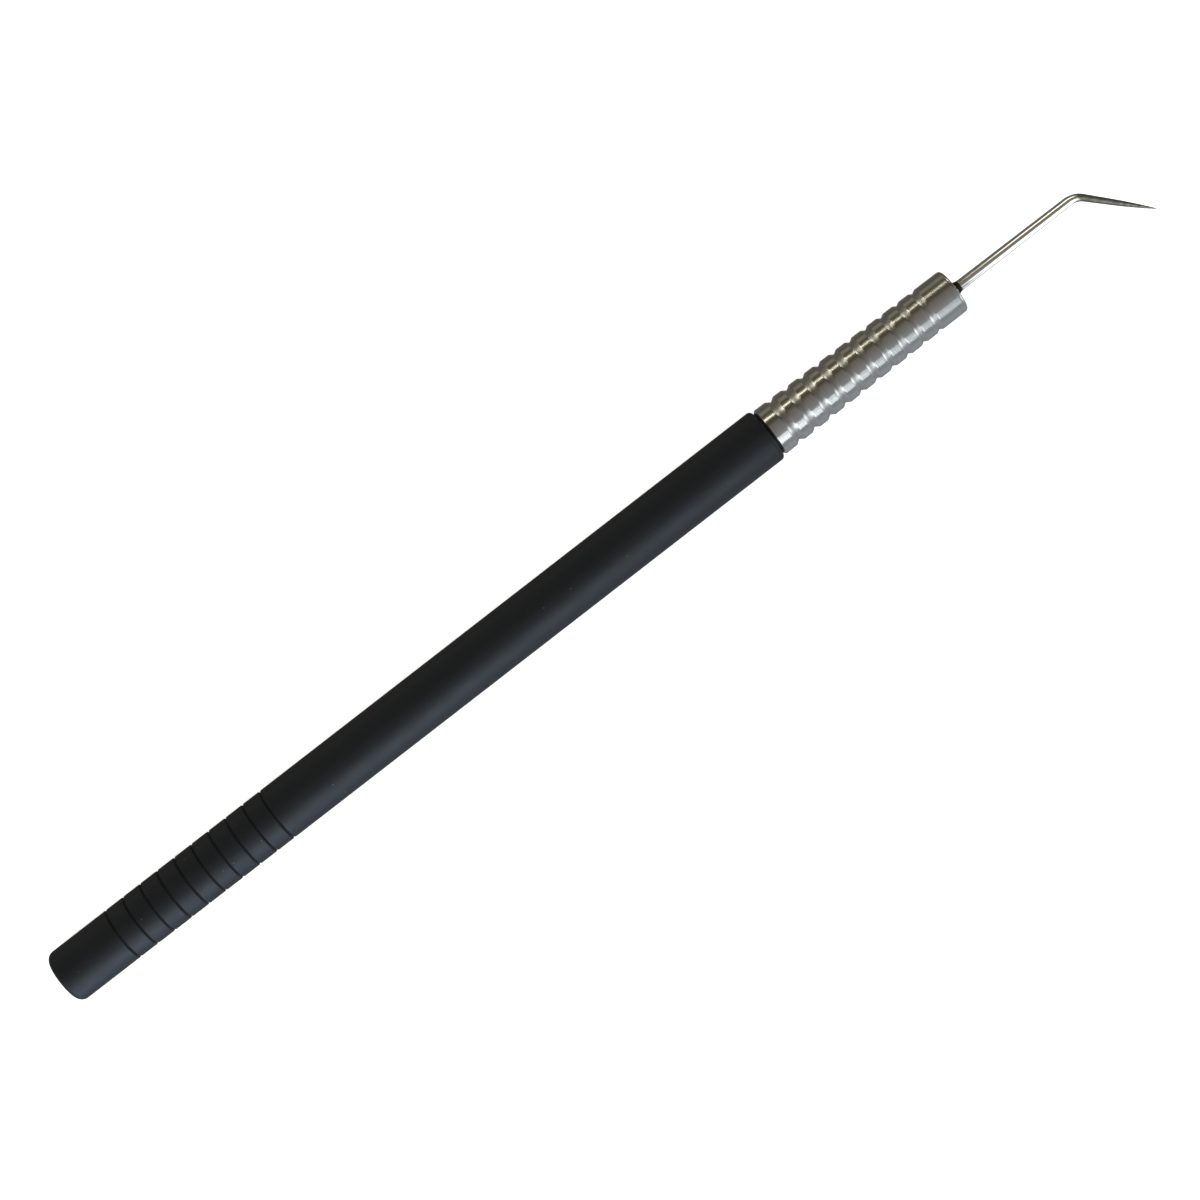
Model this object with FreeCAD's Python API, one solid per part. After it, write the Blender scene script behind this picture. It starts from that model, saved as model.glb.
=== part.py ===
"""Scratch awl with a bent point: a slim black grip, a ring-grooved steel collar and a tapered steel needle.

Millimetres. The handle's axis is X, with the point towards +X, and +Z is up. The awl lies as it rests on a
bench, on the underside of its grip and on its point, so the bend runs towards -Y and a little down.
The origin is on the axis, in the middle of the grip's plain stretch, where a rack or clip holds it.
"""

import FreeCAD, Part

import math
import os

from FreeCAD import Vector

# ---- driving dimensions -------------------------------------------------------------------------

TAIL_TO_ORIGIN = 70.0
HANDLE_LENGTH = 107.0
COLLAR_LENGTH = 28.2
NEEDLE_REACH = 18.3  # collar's front face to the corner of the bend
TIP_REACH = 11.0  # corner of the bend to the point
BEND_ANGLE = 46.4
BEND_RADIUS = 2.8

GRIP_RADIUS = 3.5
GRIP_WALL = 0.8
GRIP_END_WALL = 1.2
TAIL_CORNER = 1.1
TAIL_CROWN_RADIUS = 20.0  # the end face is a very low dome
LIP_ROUND = (0.55, 0.5)  # how far the rounded front edge reaches along the axis, and inwards

GRIP_RING_COUNT = 10
GRIP_RING_FIRST = 9.3  # from the tail
GRIP_RING_PITCH = 2.585
GRIP_RING_HALF_WIDTH = 0.17
GRIP_RING_DEPTH = 0.14

TUBE_WALL = 0.6
PLUG_FLANGE = 1.0
PLUG_DEPTH = 6.0

COLLAR_REAR_RADIUS = 3.24
COLLAR_FRONT_RADIUS = 2.93
COLLAR_TAPER_POWER = 1.6  # over 1, so that the collar narrows faster near the grip
COLLAR_REAR_CHAMFER = 0.4
COLLAR_FRONT_CORNER = 0.45
COLLAR_RING_COUNT = 10
COLLAR_RING_FIRST = 2.6  # from the collar's shoulder
COLLAR_RING_PITCH = 2.37
COLLAR_RING_REAR = (0.60, 0.42)  # half width and depth of the ring nearest the grip
COLLAR_RING_FRONT = (0.48, 0.28)
COLLAR_RING_ROOT = 0.12  # half width of the rounded root

SPIGOT_LENGTH = 12.0
LEAD_CHAMFER = 0.4  # on the ends that are pushed into a bore

NEEDLE_RADIUS = 0.68
NEEDLE_SEAT = 14.0  # length held inside the collar
NEEDLE_PARALLEL = 1.0  # length in front of the collar before the taper starts
NEEDLE_CHAMFER = 0.2
BEND_START_RADIUS = 0.60  # of the wire itself
BEND_END_RADIUS = 0.46
DRILL_SPARE = 0.4  # bore left behind the needle's end
DRILL_POINT_ANGLE = 118.0

POINT_SHOULDER = (3.5, 0.39)  # along the tip from the bend's end, and radius there
POINT_MIDDLE = (7.0, 0.255)
POINT_RADIUS = 0.05

MOUTH_RADIUS = 1.0  # countersink at the collar's front
MOUTH_DEPTH = 0.3
BOND_HEIGHT = 0.85  # how far the bond climbs the needle
BOND_SAG = 0.4  # share of its height and width at the middle of the bond's hollow slope

# ---- places along the axis ----------------------------------------------------------------------

TAIL_X = -TAIL_TO_ORIGIN
SEAM_X = TAIL_X + HANDLE_LENGTH
FACE_X = SEAM_X + COLLAR_LENGTH
BEND_TANGENT = BEND_RADIUS * math.tan(math.radians(BEND_ANGLE / 2))
BEND_X = FACE_X + NEEDLE_REACH - BEND_TANGENT
TUBE_RADIUS = GRIP_RADIUS - GRIP_WALL
TUBE_BORE = TUBE_RADIUS - TUBE_WALL
PLUG_X = TAIL_X + GRIP_END_WALL
TUBE_X = PLUG_X + PLUG_FLANGE
CENTRE = Vector(0, 0, 0)
AXIS = Vector(1, 0, 0)

# The turn about the axis that brings the point down level with the grip's underside.
POINT_OFFSET = TIP_REACH * math.sin(math.radians(BEND_ANGLE))
REST_TURN = math.degrees(math.asin((GRIP_RADIUS - POINT_RADIUS) / POINT_OFFSET))


class Outline:
    """Half a lengthwise section, x along the axis and r out from it, which is turned into a solid."""

    def __init__(self, x, r):
        self.start = Vector(x, r, 0)
        self.here = self.start
        self.edges = []

    def line(self, x, r):
        end = Vector(x, r, 0)
        self.edges.append(Part.LineSegment(self.here, end).toShape())
        self.here = end

    def arc(self, middle, end):
        end = Vector(*end, 0)
        self.edges.append(Part.Arc(self.here, Vector(*middle, 0), end).toShape())
        self.here = end

    def round(self, centre, radius, start_angle, end_angle):
        """An arc from here to end_angle, with angles in degrees from +X."""
        middle = on_circle(centre, radius, (start_angle + end_angle) / 2)
        self.arc(middle, on_circle(centre, radius, end_angle))

    def turned(self):
        self.line(self.start.x, self.start.y)
        return Part.Face(Part.Wire(self.edges)).revolve(CENTRE, AXIS, 360)


def on_circle(centre, radius, angle):
    a = math.radians(angle)
    return (centre[0] + radius * math.cos(a), centre[1] + radius * math.sin(a))


def between(rear, front, share):
    return rear + (front - rear) * share


# ---- the handle ---------------------------------------------------------------------------------


def tail_round(o):
    """The low crown of the end face and the corner, which run smoothly into each other."""
    crown_centre = (TAIL_X + TAIL_CROWN_RADIUS, 0)
    corner_r = GRIP_RADIUS - TAIL_CORNER
    reach = math.sqrt((TAIL_CROWN_RADIUS - TAIL_CORNER) ** 2 - corner_r**2)
    corner_centre = (crown_centre[0] - reach, corner_r)
    touch_angle = 180 - math.degrees(math.atan2(corner_r, reach))
    o.round(crown_centre, TAIL_CROWN_RADIUS, 180, touch_angle)
    o.round(corner_centre, TAIL_CORNER, touch_angle, 90)


def lip_round(o):
    """The rounded front edge, which leaves the grip's side smoothly and meets the front face at a corner."""
    along, inwards = LIP_ROUND
    radius = (along**2 + inwards**2) / (2 * inwards)
    start_x = SEAM_X - along
    o.line(start_x, GRIP_RADIUS)
    o.round((start_x, GRIP_RADIUS - radius), radius, 90, 90 - math.degrees(math.asin(along / radius)))


def grip_sleeve():
    """The soft black skin, a sock closed at the tail, with shallow rings near that end."""
    o = Outline(TAIL_X, 0)
    tail_round(o)
    for i in range(GRIP_RING_COUNT):
        x = TAIL_X + GRIP_RING_FIRST + i * GRIP_RING_PITCH
        o.line(x - GRIP_RING_HALF_WIDTH, GRIP_RADIUS)
        o.arc((x, GRIP_RADIUS - GRIP_RING_DEPTH), (x + GRIP_RING_HALF_WIDTH, GRIP_RADIUS))
    lip_round(o)
    o.line(SEAM_X, TUBE_RADIUS)
    o.line(PLUG_X, TUBE_RADIUS)
    o.line(PLUG_X, 0)
    return o.turned()


def core_tube():
    """The stiff tube inside the skin, which takes the collar's spigot."""
    o = Outline(TUBE_X, TUBE_BORE)
    o.line(TUBE_X, TUBE_RADIUS)
    o.line(SEAM_X, TUBE_RADIUS)
    o.line(SEAM_X, TUBE_BORE)
    return o.turned()


def tail_plug():
    """Closes the tube's tail end and backs the skin's end wall."""
    nose_x = TUBE_X + PLUG_DEPTH
    o = Outline(PLUG_X, 0)
    o.line(PLUG_X, TUBE_RADIUS)
    o.line(TUBE_X, TUBE_RADIUS)
    o.line(TUBE_X, TUBE_BORE)
    o.line(nose_x - LEAD_CHAMFER, TUBE_BORE)
    o.line(nose_x, TUBE_BORE - LEAD_CHAMFER)
    o.line(nose_x, 0)
    return o.turned()


# ---- the collar ---------------------------------------------------------------------------------


def collar_radius(x):
    """Radius of the collar's lands at x, before its rings and corners."""
    to_front = 1 - (x - SEAM_X) / COLLAR_LENGTH
    return COLLAR_FRONT_RADIUS + (COLLAR_REAR_RADIUS - COLLAR_FRONT_RADIUS) * to_front**COLLAR_TAPER_POWER


def collar_rings(o):
    """The V rings from the grip forwards, each a little narrower and shallower than the last."""
    for i in range(COLLAR_RING_COUNT):
        share = i / (COLLAR_RING_COUNT - 1)
        half = between(COLLAR_RING_REAR[0], COLLAR_RING_FRONT[0], share)
        depth = between(COLLAR_RING_REAR[1], COLLAR_RING_FRONT[1], share)
        x = SEAM_X + COLLAR_RING_FIRST + i * COLLAR_RING_PITCH
        floor = collar_radius(x) - depth
        rise = depth * COLLAR_RING_ROOT / half
        o.line(x - half, collar_radius(x - half))
        o.line(x - COLLAR_RING_ROOT, floor + rise)
        o.arc((x, floor + rise / 2), (x + COLLAR_RING_ROOT, floor + rise))
        o.line(x + half, collar_radius(x + half))


def collar():
    """The turned steel collar: spigot, shoulder, ringed lands, rounded front and the needle's bore."""
    spigot_x = SEAM_X - SPIGOT_LENGTH
    bore_x = FACE_X - NEEDLE_SEAT - DRILL_SPARE
    drill_cone = NEEDLE_RADIUS / math.tan(math.radians(DRILL_POINT_ANGLE / 2))
    chamfer_x = SEAM_X + COLLAR_REAR_CHAMFER
    corner = (FACE_X - COLLAR_FRONT_CORNER, COLLAR_FRONT_RADIUS - COLLAR_FRONT_CORNER)
    o = Outline(spigot_x, 0)
    o.line(spigot_x, TUBE_BORE - LEAD_CHAMFER)
    o.line(spigot_x + LEAD_CHAMFER, TUBE_BORE)
    o.line(SEAM_X, TUBE_BORE)
    o.line(SEAM_X, collar_radius(SEAM_X) - COLLAR_REAR_CHAMFER)
    o.line(chamfer_x, collar_radius(chamfer_x))
    collar_rings(o)
    o.line(corner[0], COLLAR_FRONT_RADIUS)
    o.round(corner, COLLAR_FRONT_CORNER, 90, 0)
    o.line(FACE_X, MOUTH_RADIUS)
    o.line(FACE_X - MOUTH_DEPTH, NEEDLE_RADIUS)
    o.line(bore_x, NEEDLE_RADIUS)
    o.line(bore_x - drill_cone, 0)
    return o.turned()


# ---- the needle ---------------------------------------------------------------------------------


def needle_shank():
    """From the needle's seated end to the start of the bend."""
    seat_x = FACE_X - NEEDLE_SEAT
    o = Outline(seat_x, 0)
    o.line(seat_x, NEEDLE_RADIUS - NEEDLE_CHAMFER)
    o.line(seat_x + NEEDLE_CHAMFER, NEEDLE_RADIUS)
    o.line(FACE_X + NEEDLE_PARALLEL, NEEDLE_RADIUS)
    o.line(BEND_X, BEND_START_RADIUS)
    o.line(BEND_X, 0)
    return o.turned()


def bend_point(angle):
    """Where the centre line is, and which way it runs, after bending by angle in the XY plane."""
    a = math.radians(angle)
    place = Vector(BEND_X + BEND_RADIUS * math.sin(a), -BEND_RADIUS * (1 - math.cos(a)), 0)
    return place, Vector(math.cos(a), -math.sin(a), 0)


def needle_bend():
    """The bend, which goes on tapering."""
    start, start_way = bend_point(0)
    middle, _ = bend_point(BEND_ANGLE / 2)
    end, end_way = bend_point(BEND_ANGLE)
    bend = Part.BRepOffsetAPI.MakePipeShell(Part.Wire(Part.Arc(start, middle, end).toShape()))
    bend.add(Part.Wire(Part.makeCircle(BEND_START_RADIUS, start, start_way)))
    bend.add(Part.Wire(Part.makeCircle(BEND_END_RADIUS, end, end_way)))
    bend.build()
    bend.makeSolid()
    return bend.shape()


def needle_point():
    """The ground tip, turned about X and then swung round to follow the bend."""
    point_x = TIP_REACH - BEND_TANGENT
    o = Outline(0, 0)
    o.line(0, BEND_END_RADIUS)
    o.line(*POINT_SHOULDER)
    o.arc(POINT_MIDDLE, (point_x - POINT_RADIUS, POINT_RADIUS))
    o.round((point_x - POINT_RADIUS, 0), POINT_RADIUS, 90, 0)
    tip = o.turned()
    tip.rotate(CENTRE, Vector(0, 0, 1), -BEND_ANGLE)
    tip.translate(bend_point(BEND_ANGLE)[0])
    return tip


def needle():
    """One piece of tapered steel, shank, bend and point, turned until the point rests on the bench."""
    steel = needle_shank().fuse([needle_bend(), needle_point()]).removeSplitter()
    steel.rotate(CENTRE, AXIS, REST_TURN)
    return steel


def needle_bond():
    """The hard bead that fills the collar's mouth round the needle and climbs it a little."""
    o = Outline(FACE_X - MOUTH_DEPTH, NEEDLE_RADIUS)
    o.line(FACE_X, MOUTH_RADIUS)
    middle = (FACE_X + BOND_HEIGHT * BOND_SAG, between(NEEDLE_RADIUS, MOUTH_RADIUS, BOND_SAG))
    o.arc(middle, (FACE_X + BOND_HEIGHT, NEEDLE_RADIUS))
    return o.turned()


PIECES = {
    "grip_sleeve": grip_sleeve,
    "core_tube": core_tube,
    "tail_plug": tail_plug,
    "collar": collar,
    "needle": needle,
    "needle_bond": needle_bond,
}

os.makedirs("parts", exist_ok=True)
for name, make in PIECES.items():
    shape = make()
    if not shape.isValid() or len(shape.Solids) != 1:
        raise RuntimeError(f"{name} isn't one valid solid")
    shape.exportStep(f"parts/{name}.step")
    print(f"{name}: {shape.Volume:.2f} mm3, {len(shape.Faces)} faces")
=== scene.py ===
"""The bent-point scratch awl's looks: turned meshes, procedural materials, lights, floor and camera."""

import math

import bmesh
import bpy
from mathutils import Matrix, Vector


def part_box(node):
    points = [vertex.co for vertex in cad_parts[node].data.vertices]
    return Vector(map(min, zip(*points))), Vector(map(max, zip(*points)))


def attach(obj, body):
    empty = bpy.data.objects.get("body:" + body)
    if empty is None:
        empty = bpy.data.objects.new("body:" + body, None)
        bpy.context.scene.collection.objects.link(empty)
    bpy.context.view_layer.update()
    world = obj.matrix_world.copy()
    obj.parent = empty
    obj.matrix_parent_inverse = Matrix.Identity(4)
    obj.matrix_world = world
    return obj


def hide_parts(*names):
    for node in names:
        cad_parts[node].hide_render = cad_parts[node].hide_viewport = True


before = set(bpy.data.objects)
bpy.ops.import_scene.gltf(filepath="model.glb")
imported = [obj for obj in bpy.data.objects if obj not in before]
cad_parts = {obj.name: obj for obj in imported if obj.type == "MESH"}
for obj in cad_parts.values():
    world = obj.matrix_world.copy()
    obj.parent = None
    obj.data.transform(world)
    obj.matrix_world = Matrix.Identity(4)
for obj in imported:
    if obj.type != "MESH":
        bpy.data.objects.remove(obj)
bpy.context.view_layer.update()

# ---- sizes, in millimetres ----------------------------------------------------------------------

MM = 0.001  # a millimetre in metres, the scene's unit
ROUND = 128  # facets round the handle and the collar
NEEDLE_ROUND = 48  # facets round the needle and the bead
ON_AXIS = 1e-6  # a smaller radius than this is a point on the axis

GRIP_LOW, GRIP_HIGH = (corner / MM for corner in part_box("grip_sleeve"))
COLLAR_LOW, COLLAR_HIGH = (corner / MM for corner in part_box("collar"))
TUBE_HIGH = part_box("core_tube")[1] / MM
PLUG_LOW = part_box("tail_plug")[0] / MM
NEEDLE_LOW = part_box("needle")[0] / MM

TAIL_X = GRIP_LOW.x
SEAM_X = GRIP_HIGH.x
FACE_X = COLLAR_HIGH.x
SPIGOT_X = COLLAR_LOW.x
SEAT_X = NEEDLE_LOW.x
GRIP_RADIUS = GRIP_HIGH.y
GRIP_BORE = TUBE_HIGH.y
FLOOR_Z = -GRIP_RADIUS

# The handle's skin. A guard is a point beside an edge, which keeps smooth shading from spreading past it.
TAIL_CORNER = 1.1
TAIL_CROWN_RADIUS = 20.0
TAIL_GUARD = 1.0
LIP_ALONG, LIP_INWARDS = 0.55, 0.5
LIP_GUARD = 2.0
GRIP_RING_COUNT = 10
GRIP_RING_FIRST = 9.3
GRIP_RING_PITCH = 2.585
GRIP_RING_HALF = 0.17
GRIP_RING_ROOT_HALF = 0.06
GRIP_RING_DEPTH = 0.14
GRIP_RING_EDGE_FILLET = 0.06
GRIP_RING_ROOT_FILLET = 0.04
GRIP_RING_GUARD = 0.04
BORE_SPARE = 0.1  # radii up to this far outside the bore aren't the skin's outside

# The collar. The ring sizes are (half width, depth), and shrink from the rear ring to the front one.
COLLAR_REAR_RADIUS = 3.24
COLLAR_FRONT_RADIUS = 2.93
COLLAR_TAPER_POWER = 1.6
COLLAR_REAR_CHAMFER = 0.4
COLLAR_CHAMFER_FILLET = 0.12
COLLAR_SHOULDER_FILLET = 0.08
COLLAR_FRONT_CORNER = 0.45
COLLAR_RING_COUNT = 10
COLLAR_RING_FIRST = 2.6
COLLAR_RING_PITCH = 2.37
COLLAR_RING_REAR = (0.60, 0.42)
COLLAR_RING_FRONT = (0.48, 0.28)
COLLAR_RING_EDGE_FILLET = 0.14
COLLAR_RING_ROOT_FILLET = 0.10
COLLAR_PLAIN_REAR = 1.0  # no ring reaches this close to the seam
SPIGOT_RADIUS = 2.1
SPIGOT_FILLET = 0.1
SPIGOT_ROOT_FILLET = 0.05
LEAD_CHAMFER = 0.4
MOUTH_RADIUS = 1.0
MOUTH_DEPTH = 0.3
MOUTH_FILLET = 0.05
DRILL_SPARE = 0.4
DRILL_CONE = 0.41

# The needle and the bead. The shoulder and the middle of the point are (distance past the bend, radius).
NEEDLE_REACH = 18.3
TIP_REACH = 11.0
BEND_ANGLE = math.radians(46.4)
BEND_RADIUS = 2.8
NEEDLE_RADIUS = 0.68
NEEDLE_PARALLEL = 1.0
NEEDLE_CHAMFER = 0.2
BEND_START_RADIUS = 0.60
BEND_END_RADIUS = 0.46
POINT_SHOULDER = (3.5, 0.39)
POINT_MIDDLE = (7.0, 0.255)
POINT_RADIUS = 0.05
BOND_HEIGHT = 0.85
BOND_HOLLOW_POWER = 1.5

BEND_TANGENT = BEND_RADIUS * math.tan(BEND_ANGLE / 2)
BEND_X = FACE_X + NEEDLE_REACH - BEND_TANGENT
STRAIGHT_LENGTH = BEND_X - SEAT_X
BEND_LENGTH = BEND_RADIUS * BEND_ANGLE
POINT_LENGTH = TIP_REACH - BEND_TANGENT
REST_TURN = math.asin((GRIP_RADIUS - POINT_RADIUS) / (TIP_REACH * math.sin(BEND_ANGLE)))
DULL_AND_SHADED_START, DULL_AND_SHADED_END = BEND_X + 0.9, BEND_X + 1.6  # where the needle's polish gives way to dull steel, darkened by a painted dark reflection

# ---- outlines -----------------------------------------------------------------------------------


def between(first, last, share):
    return first + (last - first) * share


def rounded(corners, steps=5, guard=0.06):
    """An outline of (x, r, fillet) corners as points, with arcs at the corners.

    Each arc gets one more point close by on either side, so that smooth shading turns only at the arc.
    """
    points = []
    for i, (x, r, fillet) in enumerate(corners):
        here = Vector((x, r))
        if fillet == 0:
            points.append(here)
            continue
        back = Vector(corners[i - 1][:2]) - here
        ahead = Vector(corners[(i + 1) % len(corners)][:2]) - here
        half = back.angle(ahead) / 2
        reach = fillet / math.tan(half)
        centre = here + (back.normalized() + ahead.normalized()).normalized() * fillet / math.sin(half)
        start = here + back.normalized() * reach
        end = here + ahead.normalized() * reach
        if back.length > reach + 2 * guard:
            points.append(start + back.normalized() * guard)
        sweep = (start - centre).angle_signed(end - centre)
        for k in range(steps + 1):
            turn = Matrix.Rotation(-sweep * k / steps, 2)
            points.append(centre + turn @ (start - centre))
        if ahead.length > reach + 2 * guard:
            points.append(end + ahead.normalized() * guard)
    return points


def arc(centre, radius, first, last, steps):
    """Points on a circle, from angle first to last in degrees from +X."""
    angles = [math.radians(between(first, last, k / steps)) for k in range(steps + 1)]
    return [(centre[0] + radius * math.cos(a), centre[1] + radius * math.sin(a)) for a in angles]


def ramped(start, end, steps):
    """(x, r) pairs in even steps from start, which is left out, to end."""
    shares = [k / steps for k in range(1, steps + 1)]
    return [(between(start[0], end[0], share), between(start[1], end[1], share)) for share in shares]


# ---- meshes -------------------------------------------------------------------------------------


def new_piece(name, bm, material, slot, *nodes, depth=None):
    """Turns a bmesh in millimetres into a smooth piece that stands for the CAD nodes.

    depth(x, r), if given, says from 0 to 1 how deep in a groove a point lies, for the material.
    """
    bmesh.ops.recalc_face_normals(bm, faces=bm.faces)
    bmesh.ops.scale(bm, vec=(MM, MM, MM), verts=bm.verts)
    mesh = bpy.data.meshes.new(name)
    bm.to_mesh(mesh)
    bm.free()
    mesh.materials.append(material)
    mesh.polygons.foreach_set("use_smooth", [True] * len(mesh.polygons))
    if depth:
        marks = mesh.attributes.new("groove", "FLOAT", "POINT")
        for vertex, mark in zip(mesh.vertices, marks.data):
            x, y, z = vertex.co / MM
            mark.value = min(max(depth(x, math.hypot(y, z)), 0), 1)
    piece = bpy.data.objects.new(name, mesh)
    bpy.context.scene.collection.objects.link(piece)
    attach(piece, "root")
    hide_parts(*nodes)
    return piece


def skin(rings):
    """A closed surface through rings of points; a ring of one point is a pole, and open ends join up."""
    bm = bmesh.new()
    loops = [[bm.verts.new(p) for p in ring] for ring in rings]
    open_ended = len(loops[0]) > 1
    pairs = list(zip(loops, loops[1:] + loops[:1])) if open_ended else list(zip(loops, loops[1:]))
    for a, b in pairs:
        count = max(len(a), len(b))
        for k in range(count):
            corners = [a[k % len(a)], a[(k + 1) % len(a)], b[(k + 1) % len(b)], b[k % len(b)]]
            distinct = list(dict.fromkeys(corners))
            if len(distinct) > 2:
                bm.faces.new(distinct)
    return bm


def lathe(outline, facets=ROUND):
    """The outline turned about X. A point on the axis becomes a pole."""
    angles = [2 * math.pi * k / facets for k in range(facets)]
    rings = []
    for x, r in outline:
        if r < ON_AXIS:
            rings.append([Vector((x, 0, 0))])
            continue
        rings.append([Vector((x, r * math.cos(a), r * math.sin(a))) for a in angles])
    return skin(rings)


# ---- the pieces ---------------------------------------------------------------------------------


def tail_outline():
    """From the tail's middle, over its low crown, to the end of its rounded corner."""
    crown_centre = (TAIL_X + TAIL_CROWN_RADIUS, 0)
    corner_r = GRIP_RADIUS - TAIL_CORNER
    reach = math.sqrt((TAIL_CROWN_RADIUS - TAIL_CORNER) ** 2 - corner_r**2)
    touch = 180 - math.degrees(math.atan2(corner_r, reach))
    crown = arc(crown_centre, TAIL_CROWN_RADIUS, 180, touch, steps=8)
    corner = arc((crown_centre[0] - reach, corner_r), TAIL_CORNER, touch, 90, steps=12)
    return crown + corner[1:]


def grip_rings():
    """The corners of the flat-bottomed rings near the tail."""
    root_radius = GRIP_RADIUS - GRIP_RING_DEPTH
    rings = []
    for i in range(GRIP_RING_COUNT):
        x = TAIL_X + GRIP_RING_FIRST + i * GRIP_RING_PITCH
        rings.append((x - GRIP_RING_HALF, GRIP_RADIUS, GRIP_RING_EDGE_FILLET))
        rings.append((x - GRIP_RING_ROOT_HALF, root_radius, GRIP_RING_ROOT_FILLET))
        rings.append((x + GRIP_RING_ROOT_HALF, root_radius, GRIP_RING_ROOT_FILLET))
        rings.append((x + GRIP_RING_HALF, GRIP_RADIUS, GRIP_RING_EDGE_FILLET))
    return rings


def grip_outline():
    """From the tail's middle, along the outside to the front edge, and back through the bore."""
    points = tail_outline()
    lip_radius = (LIP_ALONG**2 + LIP_INWARDS**2) / (2 * LIP_INWARDS)
    lip_x = SEAM_X - LIP_ALONG
    lip_end = 90 - math.degrees(math.asin(LIP_ALONG / lip_radius))
    behind = (points[-1][0] + TAIL_GUARD, GRIP_RADIUS, 0)
    ahead = (lip_x - LIP_GUARD, GRIP_RADIUS, 0)
    points += rounded([behind, *grip_rings(), ahead], steps=3, guard=GRIP_RING_GUARD)
    points += arc((lip_x, GRIP_RADIUS - lip_radius), lip_radius, 90, lip_end, steps=10)
    points += [(SEAM_X, GRIP_BORE), (PLUG_LOW.x, GRIP_BORE), (PLUG_LOW.x, 0)]
    return points


def grip_depth(x, r):
    first = TAIL_X + GRIP_RING_FIRST - GRIP_RING_HALF
    last = first + (GRIP_RING_COUNT - 1) * GRIP_RING_PITCH + 2 * GRIP_RING_HALF
    outside = first <= x <= last and r > GRIP_BORE + BORE_SPARE
    return (GRIP_RADIUS - r) / GRIP_RING_DEPTH if outside else 0


def collar_radius(x):
    to_front = 1 - (x - SEAM_X) / (FACE_X - SEAM_X)
    return COLLAR_FRONT_RADIUS + (COLLAR_REAR_RADIUS - COLLAR_FRONT_RADIUS) * to_front**COLLAR_TAPER_POWER


def collar_rings():
    """The corners of the V rings."""
    rings = []
    for i in range(COLLAR_RING_COUNT):
        share = i / (COLLAR_RING_COUNT - 1)
        half = between(COLLAR_RING_REAR[0], COLLAR_RING_FRONT[0], share)
        depth = between(COLLAR_RING_REAR[1], COLLAR_RING_FRONT[1], share)
        x = SEAM_X + COLLAR_RING_FIRST + i * COLLAR_RING_PITCH
        rings.append((x - half, collar_radius(x - half), COLLAR_RING_EDGE_FILLET))
        rings.append((x, collar_radius(x) - depth, COLLAR_RING_ROOT_FILLET))
        rings.append((x + half, collar_radius(x + half), COLLAR_RING_EDGE_FILLET))
    return rings


def collar_outline():
    """From the spigot's end, over the shoulder and the ringed lands to the face, and into the bore."""
    chamfer_x = SEAM_X + COLLAR_REAR_CHAMFER
    bore_x = SEAT_X - DRILL_SPARE
    corners = [
        (SPIGOT_X, 0, 0),
        (SPIGOT_X, SPIGOT_RADIUS - LEAD_CHAMFER, SPIGOT_FILLET),
        (SPIGOT_X + LEAD_CHAMFER, SPIGOT_RADIUS, SPIGOT_FILLET),
        (SEAM_X, SPIGOT_RADIUS, SPIGOT_ROOT_FILLET),
        (SEAM_X, collar_radius(SEAM_X) - COLLAR_REAR_CHAMFER, COLLAR_SHOULDER_FILLET),
        (chamfer_x, collar_radius(chamfer_x), COLLAR_CHAMFER_FILLET),
        *collar_rings(),
        (FACE_X, COLLAR_FRONT_RADIUS, COLLAR_FRONT_CORNER),
        (FACE_X, MOUTH_RADIUS, MOUTH_FILLET),
        (FACE_X - MOUTH_DEPTH, NEEDLE_RADIUS, MOUTH_FILLET),
        (bore_x, NEEDLE_RADIUS, 0),
        (bore_x - DRILL_CONE, 0, 0),
    ]
    return rounded(corners)


def collar_depth(x, r):
    past_rings = SEAM_X + COLLAR_RING_FIRST + (COLLAR_RING_COUNT - 0.5) * COLLAR_RING_PITCH
    outside = SEAM_X + COLLAR_PLAIN_REAR < x < past_rings and r > SPIGOT_RADIUS
    return (collar_radius(x) - r) / COLLAR_RING_FRONT[1] if outside else 0


def point_stations(start):
    """(distance, wire radius) along the ground point, which swells a little between shoulder and end."""
    shoulder_x, shoulder_r = POINT_SHOULDER
    middle_x, middle_r = POINT_MIDDLE
    end_x = POINT_LENGTH - POINT_RADIUS
    middle_share = (middle_x - shoulder_x) / (end_x - shoulder_x)
    swell = middle_r - between(shoulder_r, POINT_RADIUS, middle_share)
    stations = ramped((start, BEND_END_RADIUS), (start + shoulder_x, shoulder_r), steps=8)
    for x, cone_r in ramped((shoulder_x, shoulder_r), (end_x, POINT_RADIUS), steps=16):
        share = (x - shoulder_x) / (end_x - shoulder_x)
        stations.append((start + x, cone_r + swell * 4 * share * (1 - share)))
    return stations + arc((start + end_x, 0), POINT_RADIUS, 90, 0, steps=4)[1:]


def needle_stations():
    """(distance along the centre line, wire radius) from the seated end to the point."""
    taper_start = FACE_X + NEEDLE_PARALLEL - SEAT_X
    bend_end = STRAIGHT_LENGTH + BEND_LENGTH
    stations = [(0, 0), (0, NEEDLE_RADIUS - NEEDLE_CHAMFER), (NEEDLE_CHAMFER, NEEDLE_RADIUS)]
    stations.append((taper_start, NEEDLE_RADIUS))
    stations += ramped((taper_start, NEEDLE_RADIUS), (STRAIGHT_LENGTH, BEND_START_RADIUS), steps=12)
    stations += ramped((STRAIGHT_LENGTH, BEND_START_RADIUS), (bend_end, BEND_END_RADIUS), steps=16)
    return stations + point_stations(bend_end)


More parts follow.
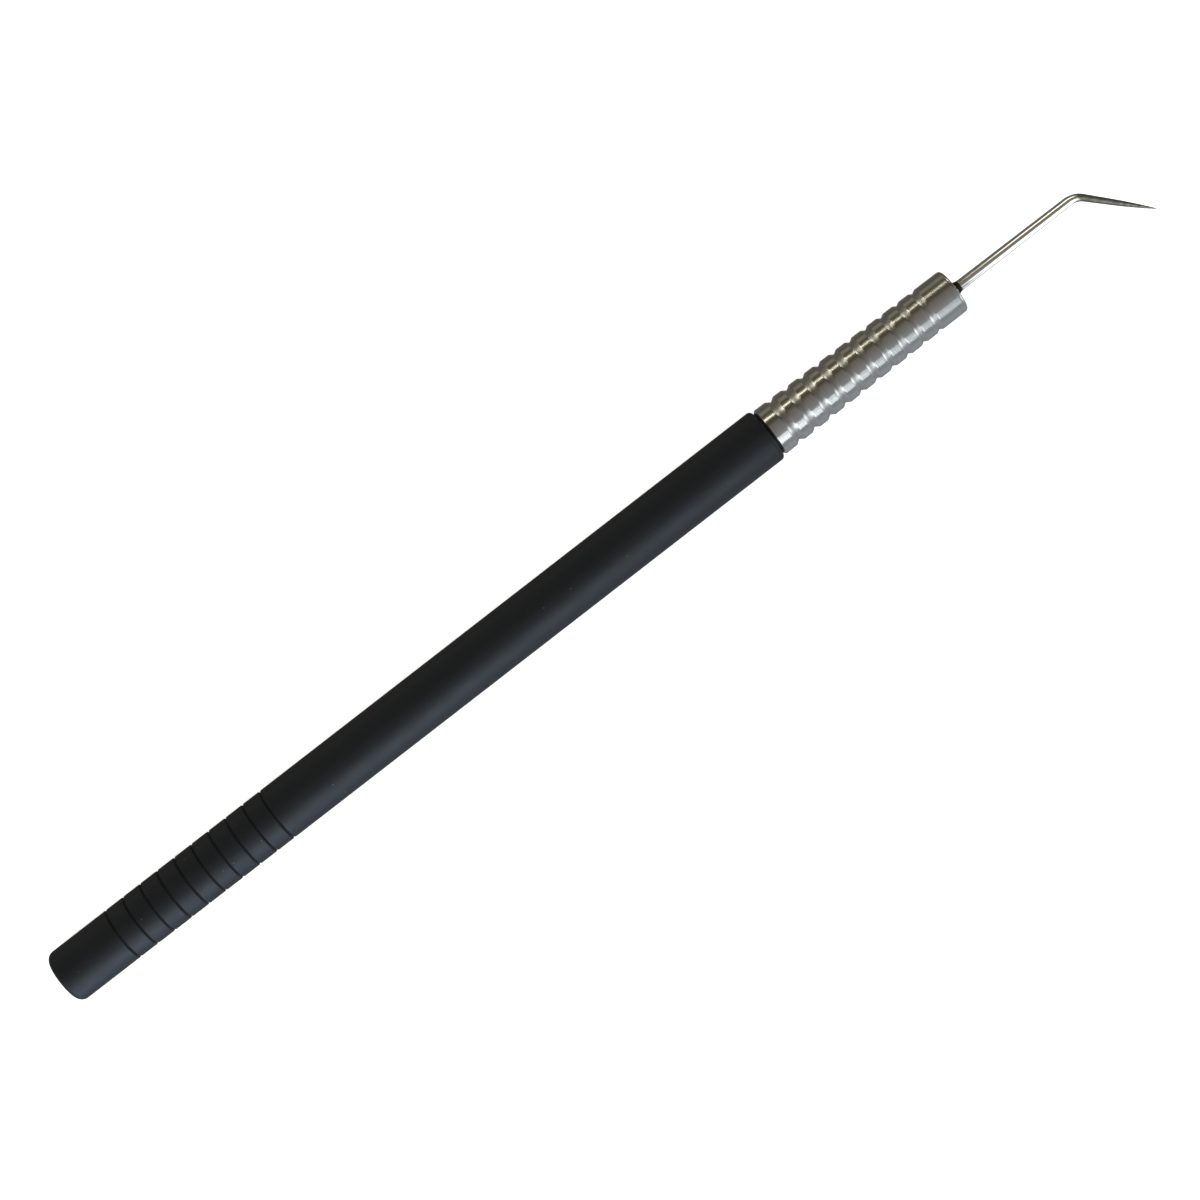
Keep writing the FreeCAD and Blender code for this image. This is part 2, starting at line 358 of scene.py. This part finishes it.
def needle_place(along):
    """The centre line's place and direction at a distance along it, before the turn to its rest."""
    angle = min(max(along - STRAIGHT_LENGTH, 0) / BEND_RADIUS, BEND_ANGLE)
    way = Vector((math.cos(angle), -math.sin(angle), 0))
    if along <= STRAIGHT_LENGTH:
        return Vector((SEAT_X + along, 0, 0)), way
    place = Vector((BEND_X + BEND_RADIUS * math.sin(angle), -BEND_RADIUS * (1 - math.cos(angle)), 0))
    return place + way * max(along - STRAIGHT_LENGTH - BEND_LENGTH, 0), way


def needle_mesh():
    up = Vector((0, 0, 1))
    angles = [2 * math.pi * k / NEEDLE_ROUND for k in range(NEEDLE_ROUND)]
    rings = []
    for along, radius in needle_stations():
        place, way = needle_place(along)
        side = up.cross(way)
        if radius < ON_AXIS:
            rings.append([place])
            continue
        rings.append([place + radius * (side * math.cos(a) + up * math.sin(a)) for a in angles])
    bm = skin(rings)
    bmesh.ops.rotate(bm, cent=(0, 0, 0), matrix=Matrix.Rotation(REST_TURN, 3, "X"), verts=bm.verts)
    return bm


def bond_outline():
    """A small hollow-sided bead, from the collar's mouth up the needle."""
    steps = 12
    points = [(FACE_X - MOUTH_DEPTH, NEEDLE_RADIUS)]
    for k in range(steps + 1):
        share = k / steps
        radius = between(NEEDLE_RADIUS, MOUTH_RADIUS, (1 - share) ** BOND_HOLLOW_POWER)
        points.append((FACE_X + BOND_HEIGHT * share, radius))
    return points


# ---- materials ----------------------------------------------------------------------------------

NOISE_LOW, NOISE_HIGH = 0.3, 0.7  # most of a noise texture's values lie between these


def shader_nodes(name):
    material = bpy.data.materials.new(name)
    material.use_nodes = True
    nodes = material.node_tree.nodes
    return material, nodes, material.node_tree.links, nodes["Principled BSDF"]


def stretched(nodes, links, per_mm):
    """Object coordinates with so many texture units per millimetre along X, Y and Z."""
    place = nodes.new("ShaderNodeTexCoord")
    mapping = nodes.new("ShaderNodeMapping")
    mapping.inputs["Scale"].default_value = [v / MM for v in per_mm]
    links.new(place.outputs["Object"], mapping.inputs["Vector"])
    return mapping.outputs["Vector"]


def noise(nodes, links, per_mm, detail=3.0, rough=0.5):
    texture = nodes.new("ShaderNodeTexNoise")
    texture.inputs["Scale"].default_value = 1.0
    texture.inputs["Detail"].default_value = detail
    texture.inputs["Roughness"].default_value = rough
    links.new(stretched(nodes, links, per_mm), texture.inputs["Vector"])
    return texture.outputs["Fac"]


def ramp(nodes, links, value, *stops):
    """value through a colour ramp of (position, colour) stops; a colour may be one number."""
    node = nodes.new("ShaderNodeValToRGB")
    elements = node.color_ramp.elements
    while len(elements) < len(stops):
        elements.new(0.5)
    for element, (position, colour) in zip(elements, stops):
        element.position = position
        colour = colour if isinstance(colour, tuple) else (colour,) * 3
        element.color = (*colour, 1)
    links.new(value, node.inputs["Fac"])
    return node.outputs["Color"]


def spread(nodes, links, value, low, high):
    """A noise value as colours or numbers, from low to high."""
    return ramp(nodes, links, value, (NOISE_LOW, low), (NOISE_HIGH, high))


def bump(nodes, links, height, distance_mm):
    node = nodes.new("ShaderNodeBump")
    node.inputs["Strength"].default_value = 1.0
    node.inputs["Distance"].default_value = distance_mm * MM
    links.new(height, node.inputs["Height"])
    return node.outputs["Normal"]


def along_x(nodes, links, start, end):
    """0 up to start, 1 from end on, in millimetres along the handle's axis."""
    place = nodes.new("ShaderNodeTexCoord")
    split = nodes.new("ShaderNodeSeparateXYZ")
    links.new(place.outputs["Object"], split.inputs["Vector"])
    share = nodes.new("ShaderNodeMapRange")
    share.inputs["From Min"].default_value = start * MM
    share.inputs["From Max"].default_value = end * MM
    links.new(split.outputs["X"], share.inputs["Value"])
    return share.outputs["Result"]


def grooves(nodes):
    node = nodes.new("ShaderNodeAttribute")
    node.attribute_name = "groove"
    return node.outputs["Fac"]


def mixed(nodes, links, share, first, second):
    """Colours or numbers, first where share is 0 and second where it is 1."""
    node = nodes.new("ShaderNodeMix")
    node.data_type = "RGBA"
    links.new(share, node.inputs["Factor"])
    for socket, value in (("A", first), ("B", second)):
        if isinstance(value, bpy.types.NodeSocket):
            links.new(value, node.inputs[socket])
        else:
            value = value if isinstance(value, tuple) else (value,) * 3
            node.inputs[socket].default_value = (*value, 1)
    return node.outputs["Result"]


def dust_specks(nodes, links):
    """1 in a few small specks, 0 elsewhere."""
    cells = nodes.new("ShaderNodeTexVoronoi")
    cells.inputs["Scale"].default_value = 1.0
    links.new(stretched(nodes, links, (0.8, 0.8, 0.8)), cells.inputs["Vector"])
    near = ramp(nodes, links, cells.outputs["Distance"], (0.03, 1.0), (0.07, 0.0))
    few = ramp(nodes, links, cells.outputs["Color"], (0.55, 0.0), (0.60, 1.0))
    return mixed(nodes, links, near, 0.0, few)


def soft_touch():
    """Matt black soft-touch skin: fine grain, faint mottling, dull grooves with painted shade, and a few
    specks of dust.
    """
    material, nodes, links, shader = shader_nodes("soft_touch_black")
    mottle = noise(nodes, links, (0.25, 0.6, 0.6), detail=5)
    colour = spread(nodes, links, mottle, (0.0028, 0.0030, 0.0034), (0.0036, 0.0038, 0.0042))
    colour = mixed(nodes, links, dust_specks(nodes, links), colour, (0.10, 0.105, 0.11))
    # Painted shade: the grooves' base colour is darker still than the skin's.
    colour = mixed(nodes, links, grooves(nodes), colour, (0.002, 0.002, 0.002))
    links.new(colour, shader.inputs["Base Color"])
    rough = spread(nodes, links, mottle, 0.51, 0.59)
    links.new(mixed(nodes, links, grooves(nodes), rough, 0.85), shader.inputs["Roughness"])
    shader.inputs["Specular IOR Level"].default_value = 0.58
    shader.inputs["Specular Tint"].default_value = (0.84, 0.92, 1.0, 1)
    grain = noise(nodes, links, (9, 9, 9), detail=4, rough=0.7)
    links.new(bump(nodes, links, grain, 0.010), shader.inputs["Normal"])
    return material


def turned_steel():
    """Satin steel, a little rougher in front, with lathe lines round the axis that blur it lengthwise, and
    painted shade in the grooves.
    """
    material, nodes, links, shader = shader_nodes("turned_steel")
    bands = noise(nodes, links, (2.2, 0.05, 0.05), detail=2)
    colour = spread(nodes, links, bands, (0.58, 0.575, 0.565), (0.63, 0.625, 0.615))
    # Painted shade: the base colour is darker in the grooves.
    colour = mixed(nodes, links, grooves(nodes), colour, (0.56, 0.55, 0.54))
    links.new(colour, shader.inputs["Base Color"])
    rough = ramp(nodes, links, along_x(nodes, links, SEAM_X, FACE_X), (0.0, 0.205), (1.0, 0.225))
    links.new(mixed(nodes, links, grooves(nodes), rough, 0.41), shader.inputs["Roughness"])
    shader.inputs["Metallic"].default_value = 1.0
    shader.inputs["Anisotropic"].default_value = 0.6
    shader.inputs["Anisotropic Rotation"].default_value = 0.25
    tangent = nodes.new("ShaderNodeTangent")
    tangent.direction_type = "RADIAL"
    tangent.axis = "X"
    links.new(tangent.outputs["Tangent"], shader.inputs["Tangent"])
    lines = noise(nodes, links, (14, 0.15, 0.15), rough=0.7)
    links.new(bump(nodes, links, lines, 0.0012), shader.inputs["Normal"])
    return material


def ground_steel():
    """Polished needle steel with fine lengthwise grinding lines, dull past the bend, where a painted dark
    reflection darkens it.
    """
    material, nodes, links, shader = shader_nodes("ground_steel")
    point = along_x(nodes, links, DULL_AND_SHADED_START, DULL_AND_SHADED_END)
    lines = noise(nodes, links, (0.4, 12, 12), rough=0.6)
    streaks = noise(nodes, links, (0.9, 4, 4), rough=0.6)
    shank_colour = spread(nodes, links, lines, (0.72, 0.705, 0.675), (0.80, 0.785, 0.755))
    # Painted dark reflection: past the bend the base colour drops to a dark streaked grey.
    dark, light = (0.115, 0.108, 0.095), (0.215, 0.205, 0.185)
    point_painted_dark = ramp(nodes, links, streaks, (0.35, dark), (0.65, light))
    links.new(mixed(nodes, links, point, shank_colour, point_painted_dark), shader.inputs["Base Color"])
    shank_rough = spread(nodes, links, lines, 0.08, 0.13)
    point_rough = spread(nodes, links, streaks, 0.55, 0.45)
    links.new(mixed(nodes, links, point, shank_rough, point_rough), shader.inputs["Roughness"])
    shader.inputs["Metallic"].default_value = 1.0
    links.new(bump(nodes, links, lines, 0.0005), shader.inputs["Normal"])
    return material


def resin_and_painted_shade():
    """The bead of bonding resin, a little uneven; its near-black colour is partly painted shade at the
    collar's mouth.
    """
    material, nodes, links, shader = shader_nodes("resin_and_painted_shade")
    lumps = noise(nodes, links, (3, 3, 3))
    # Partly painted shade: the bead's colour is kept near black to darken the collar's mouth.
    colour = spread(nodes, links, lumps, (0.006, 0.005, 0.005), (0.014, 0.012, 0.011))
    links.new(colour, shader.inputs["Base Color"])
    links.new(spread(nodes, links, lumps, 0.50, 0.65), shader.inputs["Roughness"])
    shader.inputs["Specular IOR Level"].default_value = 0.25
    links.new(bump(nodes, links, lumps, 0.03), shader.inputs["Normal"])
    return material


def drawn_aluminium():
    """The tube's plain metal, with lengthwise drawing lines."""
    material, nodes, links, shader = shader_nodes("drawn_aluminium")
    lines = noise(nodes, links, (0.1, 8, 8))
    colour = spread(nodes, links, lines, (0.66, 0.67, 0.68), (0.78, 0.79, 0.80))
    links.new(colour, shader.inputs["Base Color"])
    links.new(spread(nodes, links, lines, 0.25, 0.40), shader.inputs["Roughness"])
    shader.inputs["Metallic"].default_value = 1.0
    links.new(bump(nodes, links, lines, 0.003), shader.inputs["Normal"])
    return material


def moulded_plastic():
    """The plug's plain dark plastic."""
    material, nodes, links, shader = shader_nodes("moulded_plastic")
    grain = noise(nodes, links, (5, 5, 5), detail=4)
    colour = spread(nodes, links, grain, (0.035, 0.035, 0.038), (0.055, 0.055, 0.060))
    links.new(colour, shader.inputs["Base Color"])
    links.new(spread(nodes, links, grain, 0.40, 0.55), shader.inputs["Roughness"])
    links.new(bump(nodes, links, grain, 0.01), shader.inputs["Normal"])
    return material


def white_card():
    """The floor's bright matt white, which glows so that the awl casts hardly any shadow on it."""
    material, nodes, links, shader = shader_nodes("white_card")
    fibres = noise(nodes, links, (1, 1, 1))
    links.new(spread(nodes, links, fibres, 0.90, 0.92), shader.inputs["Base Color"])
    shader.inputs["Roughness"].default_value = 0.9
    shader.inputs["Specular IOR Level"].default_value = 0.0
    shader.inputs["Emission Color"].default_value = (1, 1, 1, 1)
    shader.inputs["Emission Strength"].default_value = 0.62
    return material


# ---- the object ---------------------------------------------------------------------------------

new_piece("grip_skin", lathe(grip_outline()), soft_touch(), "grip", "grip_sleeve", depth=grip_depth)
collar_mesh = lathe(collar_outline())
new_piece("ringed_collar", collar_mesh, turned_steel(), "collar", "collar", depth=collar_depth)
new_piece("bent_needle", needle_mesh(), ground_steel(), "needle", "needle")
new_piece("mouth_bead", lathe(bond_outline(), NEEDLE_ROUND), resin_and_painted_shade(), "bond", "needle_bond")
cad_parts["core_tube"].material_slots[0].material = drawn_aluminium()
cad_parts["tail_plug"].material_slots[0].material = moulded_plastic()

# ---- floor, lights and camera, in metres --------------------------------------------------------

FLOOR_SIDE = 6.0
KEY_REACH = 0.60
STRIP_REACH = 0.70
FILL_STRENGTH = 1.5
FILL_SPREAD = math.radians(100)
VIEW_CENTRE = (0.0089, -0.0034)
CAMERA_HEIGHT = 0.380
CAMERA_LENS = 95.1
CAMERA_SENSOR = 36
CAMERA_NEAREST = 0.01
HANDLE_TURN = math.radians(37.77)  # how far the handle rises to the right in the view


def floor():
    bm = bmesh.new()
    bmesh.ops.create_grid(bm, x_segments=1, y_segments=1, size=FLOOR_SIDE / 2)
    mesh = bpy.data.meshes.new("floor")
    bm.to_mesh(mesh)
    bm.free()
    mesh.materials.append(white_card())
    card = bpy.data.objects.new("floor", mesh)
    card.location.z = FLOOR_Z * MM
    bpy.context.scene.collection.objects.link(card)
    card.visible_glossy = False


def area_light(name, angles, reach, ends, radiance, colour, only=None):
    """A long rectangle of light beside the awl, facing its axis.

    angles are its edges as seen from the awl, from 0 overhead to positive towards -Y, in degrees; reach is
    its distance; ends are where it starts and stops along X; only names the pieces it lights, if not all.
    """
    middle = math.radians(sum(angles) / 2)
    width = 2 * reach * math.tan(math.radians(angles[1] - angles[0]) / 2)
    length = ends[1] - ends[0]
    data = bpy.data.lights.new(name, "AREA")
    data.shape = "RECTANGLE"
    data.size, data.size_y = length, width
    data.color = colour
    data.energy = radiance * math.pi * length * width
    light = bpy.data.objects.new(name, data)
    light.location = (sum(ends) / 2, -reach * math.sin(middle), reach * math.cos(middle))
    light.rotation_euler = (middle, 0, 0)
    light.visible_camera = False
    bpy.context.scene.collection.objects.link(light)
    if only:
        lit = bpy.data.collections.new(name + "_lit")
        for piece in only:
            lit.objects.link(bpy.data.objects[piece])
        light.light_linking.receiver_collection = lit


def fill_light():
    """Weak light from a wide patch of sky overhead, which gives no highlight."""
    data = bpy.data.lights.new("fill", "SUN")
    data.energy = FILL_STRENGTH
    data.angle = FILL_SPREAD
    fill = bpy.data.objects.new("fill", data)
    fill.visible_glossy = False
    bpy.context.scene.collection.objects.link(fill)


def lights():
    """Cool soft lights from the -Y side and thin warm strips from +Y, for the steel's two bright bands."""
    handle = ["grip_skin", "floor"]
    collar = ["ringed_collar", "floor"]
    needle = ["bent_needle"]
    key, strip = KEY_REACH, STRIP_REACH
    area_light("key_upper", (40, 54), key, (-0.25, 0.10), 2.1, (0.95, 1.0, 1.0))
    area_light("key_lower", (54, 75), key, (-0.25, 0.10), 2.9, (0.90, 1.0, 1.05))
    area_light("side", (72, 102), key, (-0.60, -0.12), 2.9, (0.87, 1.0, 1.40), handle)
    area_light("far_behind", (57, 90), key, (-1.60, -0.60), 2.8, (0.96, 1.0, 1.0))
    area_light("far_ahead", (56, 98), key, (0.60, 1.60), 2.0, (0.92, 1.0, 1.0))
    area_light("strip", (-57, -51), strip, (-0.60, 0.08), 3.0, (1.0, 0.98, 0.80), collar)
    area_light("strip_end", (-57, -51), strip, (0.0, 0.10), 11.5, (1.0, 0.95, 0.76), collar)
    area_light("strip_behind", (-78, -72), strip, (-1.60, -0.60), 8.0, (1.0, 0.96, 0.80), collar)
    area_light("strip_ahead", (-78, -72), strip, (0.60, 1.60), 7.0, (1.0, 0.96, 0.80), collar)
    area_light("needle_key", (38, 112), key, (0.176, 0.60), 2.5, (1.0, 1.0, 0.98), needle)
    area_light("needle_strip", (-58, -34), strip, (0.190, 0.90), 2.2, (1.0, 0.97, 0.88), needle)
    area_light("glow", (-110, -30), key, (-0.80, 0.60), 0.17, (0.98, 1.0, 1.03), ["grip_skin"])
    fill_light()


def angle_about_handle(nodes, links):
    """A direction's angle about the handle's axis, as 0 at -180 degrees and 1 at +180."""
    place = nodes.new("ShaderNodeTexCoord")
    split = nodes.new("ShaderNodeSeparateXYZ")
    links.new(place.outputs["Generated"], split.inputs["Vector"])
    minus_y = nodes.new("ShaderNodeMath")
    minus_y.operation = "MULTIPLY"
    minus_y.inputs[1].default_value = -1
    links.new(split.outputs["Y"], minus_y.inputs[0])
    angle = nodes.new("ShaderNodeMath")
    angle.operation = "ARCTAN2"
    links.new(minus_y.outputs["Value"], angle.inputs[0])
    links.new(split.outputs["Z"], angle.inputs[1])
    share = nodes.new("ShaderNodeMapRange")
    share.inputs["From Min"].default_value = -math.pi
    share.inputs["From Max"].default_value = math.pi
    links.new(angle.outputs["Value"], share.inputs["Value"])
    return share.outputs["Result"]


def at(degrees):
    """An angle's place on the colour ramp."""
    return (degrees + 180) / 360


def surroundings():
    """What the metal reflects, by angle about the handle's axis: 0 overhead, positive towards -Y."""
    world = bpy.data.worlds.new("studio")
    world.use_nodes = True
    nodes, links = world.node_tree.nodes, world.node_tree.links
    colour = ramp(
        nodes,
        links,
        angle_about_handle(nodes, links),
        (at(-180), (0.20, 0.20, 0.20)),
        (at(-125), (0.130, 0.118, 0.098)),
        (at(-108), (0.130, 0.118, 0.098)),
        (at(-99), (0.26, 0.24, 0.19)),
        (at(-88), (0.26, 0.24, 0.19)),
        (at(-76), (0.090, 0.074, 0.046)),
        (at(-42), (0.070, 0.056, 0.034)),
        (at(-31), (0.085, 0.070, 0.045)),
        (at(-20), (0.185, 0.168, 0.140)),
        (at(0), (0.232, 0.218, 0.198)),
        (at(30), (0.29, 0.30, 0.31)),
        (at(70), (0.25, 0.27, 0.285)),
        (at(92), (0.32, 0.34, 0.36)),
        (at(112), (0.40, 0.425, 0.45)),
        (at(150), (0.32, 0.34, 0.37)),
        (at(180), (0.20, 0.20, 0.20)),
    )
    background = nodes["Background"]
    links.new(colour, background.inputs["Color"])
    pale = nodes.new("ShaderNodeBackground")
    pale.inputs["Color"].default_value = (0.95, 0.95, 0.95, 1)
    seen = nodes.new("ShaderNodeLightPath")
    mix = nodes.new("ShaderNodeMixShader")
    links.new(seen.outputs["Is Camera Ray"], mix.inputs["Fac"])
    links.new(background.outputs["Background"], mix.inputs[1])
    links.new(pale.outputs["Background"], mix.inputs[2])
    links.new(mix.outputs["Shader"], nodes["World Output"].inputs["Surface"])
    bpy.context.scene.world = world


def camera():
    """Straight above the awl, turned so that the handle runs up to the right."""
    data = bpy.data.cameras.new("camera")
    data.lens = CAMERA_LENS
    data.sensor_width = CAMERA_SENSOR
    data.clip_start = CAMERA_NEAREST
    eye = bpy.data.objects.new("camera", data)
    eye.location = (*VIEW_CENTRE, CAMERA_HEIGHT)
    eye.rotation_euler = (0, 0, -HANDLE_TURN)
    bpy.context.scene.collection.objects.link(eye)
    bpy.context.scene.camera = eye


camera()
floor()
lights()
surroundings()
bpy.context.scene.view_settings.view_transform = "Standard"
